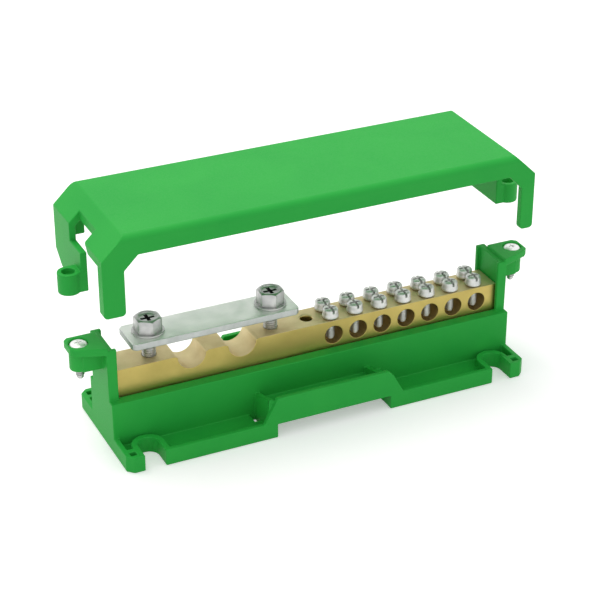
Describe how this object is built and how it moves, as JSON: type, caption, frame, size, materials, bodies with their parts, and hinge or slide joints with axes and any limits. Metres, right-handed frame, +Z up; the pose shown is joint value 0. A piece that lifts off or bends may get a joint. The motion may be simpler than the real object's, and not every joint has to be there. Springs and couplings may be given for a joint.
{
  "type": "earth terminal bar",
  "caption": "Brass earth bar with wire tunnels, set screws and a clamp for large conductors, on a green rail carrier with its cover lifted off.",
  "frame": {"origin": "on the underside, at the middle of the rail channel and of the four fixing slots", "axes": "+X along the bar from the clamp towards the terminals, +Y away from the viewer along the rail, +Z up towards the cover"},
  "size_m": [0.1424, 0.0442, 0.069],
  "materials": {
    "green_plastic": "smooth green moulded plastic with a satin sheen",
    "brass": "drawn brass, bare, with fine lines along the bar",
    "plated_strip": "zinc-plated flat steel, satin",
    "plated_screw": "zinc-plated steel, turned and pressed"
  },
  "bodies": {
    "carrier": {"base_housing": "green_plastic", "brass_bar": "brass"},
    "cover": {"cover": "green_plastic"},
    "clamp": {"clamp_plate": "plated_strip", "clamp_washer_left": "plated_screw", "clamp_washer_right": "plated_screw", "clamp_screw_left": "plated_screw", "clamp_screw_right": "plated_screw"},
    "cover_screw_left": {"cover_screw_left": "plated_screw"},
    "cover_screw_right": {"cover_screw_right": "plated_screw"},
    "terminal_screw_front_1": {"terminal_screw_front_1": "plated_screw"},
    "terminal_screw_front_2": {"terminal_screw_front_2": "plated_screw"},
    "terminal_screw_front_3": {"terminal_screw_front_3": "plated_screw"},
    "terminal_screw_front_4": {"terminal_screw_front_4": "plated_screw"},
    "terminal_screw_front_5": {"terminal_screw_front_5": "plated_screw"},
    "terminal_screw_front_6": {"terminal_screw_front_6": "plated_screw"},
    "terminal_screw_front_7": {"terminal_screw_front_7": "plated_screw"},
    "terminal_screw_rear_1": {"terminal_screw_rear_1": "plated_screw"},
    "terminal_screw_rear_2": {"terminal_screw_rear_2": "plated_screw"},
    "terminal_screw_rear_3": {"terminal_screw_rear_3": "plated_screw"},
    "terminal_screw_rear_4": {"terminal_screw_rear_4": "plated_screw"},
    "terminal_screw_rear_5": {"terminal_screw_rear_5": "plated_screw"},
    "terminal_screw_rear_6": {"terminal_screw_rear_6": "plated_screw"},
    "terminal_screw_rear_7": {"terminal_screw_rear_7": "plated_screw"}
  },
  "joints": [
    {"name": "cover_lift", "type": "slide", "parent": "carrier", "child": "cover", "axis": [0, 0, 1], "range_m": [-0.009, 0.03]},
    {"name": "clamp_travel", "type": "slide", "parent": "carrier", "child": "clamp", "axis": [0, 0, 1], "range_m": [-0.0052, 0.004]},
    {"name": "cover_screw_left_travel", "type": "slide", "parent": "carrier", "child": "cover_screw_left", "axis": [0, 0, 1], "range_m": [0, 0.003]},
    {"name": "cover_screw_right_travel", "type": "slide", "parent": "carrier", "child": "cover_screw_right", "axis": [0, 0, 1], "range_m": [0, 0.003]},
    {"name": "terminal_screw_front_1_travel", "type": "slide", "parent": "carrier", "child": "terminal_screw_front_1", "axis": [0, 0, 1], "range_m": [-0.0003, 0.005]},
    {"name": "terminal_screw_front_2_travel", "type": "slide", "parent": "carrier", "child": "terminal_screw_front_2", "axis": [0, 0, 1], "range_m": [-0.0003, 0.005]},
    {"name": "terminal_screw_front_3_travel", "type": "slide", "parent": "carrier", "child": "terminal_screw_front_3", "axis": [0, 0, 1], "range_m": [-0.0003, 0.005]},
    {"name": "terminal_screw_front_4_travel", "type": "slide", "parent": "carrier", "child": "terminal_screw_front_4", "axis": [0, 0, 1], "range_m": [-0.0003, 0.005]},
    {"name": "terminal_screw_front_5_travel", "type": "slide", "parent": "carrier", "child": "terminal_screw_front_5", "axis": [0, 0, 1], "range_m": [-0.0003, 0.005]},
    {"name": "terminal_screw_front_6_travel", "type": "slide", "parent": "carrier", "child": "terminal_screw_front_6", "axis": [0, 0, 1], "range_m": [-0.0003, 0.005]},
    {"name": "terminal_screw_front_7_travel", "type": "slide", "parent": "carrier", "child": "terminal_screw_front_7", "axis": [0, 0, 1], "range_m": [-0.0003, 0.005]},
    {"name": "terminal_screw_rear_1_travel", "type": "slide", "parent": "carrier", "child": "terminal_screw_rear_1", "axis": [0, 0, 1], "range_m": [-0.0003, 0.005]},
    {"name": "terminal_screw_rear_2_travel", "type": "slide", "parent": "carrier", "child": "terminal_screw_rear_2", "axis": [0, 0, 1], "range_m": [-0.0003, 0.005]},
    {"name": "terminal_screw_rear_3_travel", "type": "slide", "parent": "carrier", "child": "terminal_screw_rear_3", "axis": [0, 0, 1], "range_m": [-0.0003, 0.005]},
    {"name": "terminal_screw_rear_4_travel", "type": "slide", "parent": "carrier", "child": "terminal_screw_rear_4", "axis": [0, 0, 1], "range_m": [-0.0003, 0.005]},
    {"name": "terminal_screw_rear_5_travel", "type": "slide", "parent": "carrier", "child": "terminal_screw_rear_5", "axis": [0, 0, 1], "range_m": [-0.0003, 0.005]},
    {"name": "terminal_screw_rear_6_travel", "type": "slide", "parent": "carrier", "child": "terminal_screw_rear_6", "axis": [0, 0, 1], "range_m": [-0.0003, 0.005]},
    {"name": "terminal_screw_rear_7_travel", "type": "slide", "parent": "carrier", "child": "terminal_screw_rear_7", "axis": [0, 0, 1], "range_m": [-0.0003, 0.005]}
  ]
}
